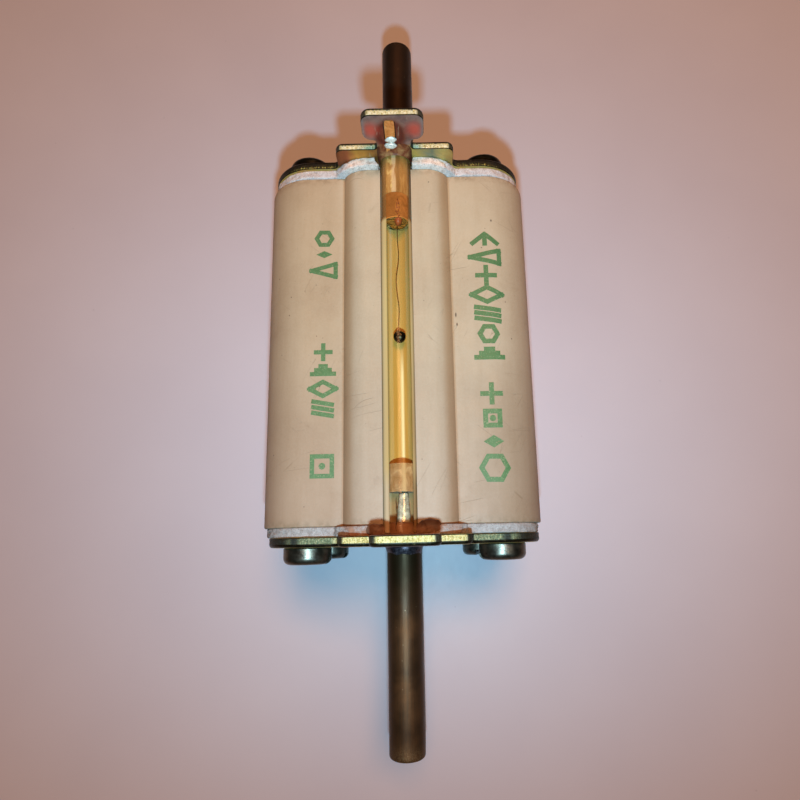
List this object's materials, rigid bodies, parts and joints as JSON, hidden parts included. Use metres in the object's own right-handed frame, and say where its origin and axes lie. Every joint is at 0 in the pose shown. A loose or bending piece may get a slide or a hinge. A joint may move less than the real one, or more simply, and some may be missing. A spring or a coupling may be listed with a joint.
{
  "type": "knife-blade fuse-link",
  "caption": "Square ceramic fuse-link with two knife blades, stamped end plates with gripping lugs, and a glass-tube indicator along its front.",
  "frame": {"origin": "under the middle of the fuse, on the plane that the back of the ceramic rests on", "axes": "+Z out of the front, which carries the gripping lugs and the glass tube; +Y along the fuse from the bottom blade to the top blade; +X to the right seen from the front"},
  "size_m": [0.0466, 0.135, 0.0496],
  "materials": {
    "ceramic": "unglazed beige steatite, slightly soiled",
    "plated_steel": "yellow zinc chromate with an iridescent tint, worn sheared edges",
    "gasket_fibre": "white fibre sheet, rough edge",
    "screw_steel": "dark, semi-gloss",
    "blade_metal": "tarnished silver-plated copper alloy",
    "braze": "dark, matte",
    "copper": "bare copper strip",
    "sand": "packed quartz sand",
    "clear_glass": "clear drawn tube",
    "amber_sleeve": "amber, translucent",
    "ball_steel": "polished steel ball",
    "wire_metal": "fine dark wire",
    "plug_resin": "orange-brown resin",
    "tinned_metal": "tinned, bright",
    "seal_resin": "dark brown resin"
  },
  "bodies": {
    "fuse": {"ceramic_body": "ceramic", "top_end_plate": "plated_steel", "bottom_end_plate": "plated_steel", "top_gasket": "gasket_fibre", "bottom_gasket": "gasket_fibre", "top_plate_screws": "screw_steel", "bottom_plate_screws": "screw_steel", "top_blade": "blade_metal", "bottom_blade": "blade_metal", "top_blade_braze": "braze", "bottom_blade_braze": "braze", "fuse_element_1": "copper", "fuse_element_2": "copper", "fuse_element_3": "copper", "fuse_element_4": "copper", "quartz_sand_fill": "sand", "indicator_tube": "clear_glass", "indicator_sleeve": "amber_sleeve", "indicator_wire": "wire_metal", "top_indicator_plug": "plug_resin", "bottom_indicator_plug": "plug_resin", "bottom_indicator_cap": "tinned_metal", "indicator_contact_tab": "copper", "contact_solder": "tinned_metal", "top_resin_seal": "seal_resin", "bottom_resin_seal": "seal_resin"},
    "ball": {"indicator_ball": "ball_steel"}
  },
  "joints": [
    {"name": "ball_drop", "type": "slide", "parent": "fuse", "child": "ball", "axis": [0, -1, 0], "range_m": [0, 0.0197]}
  ]
}
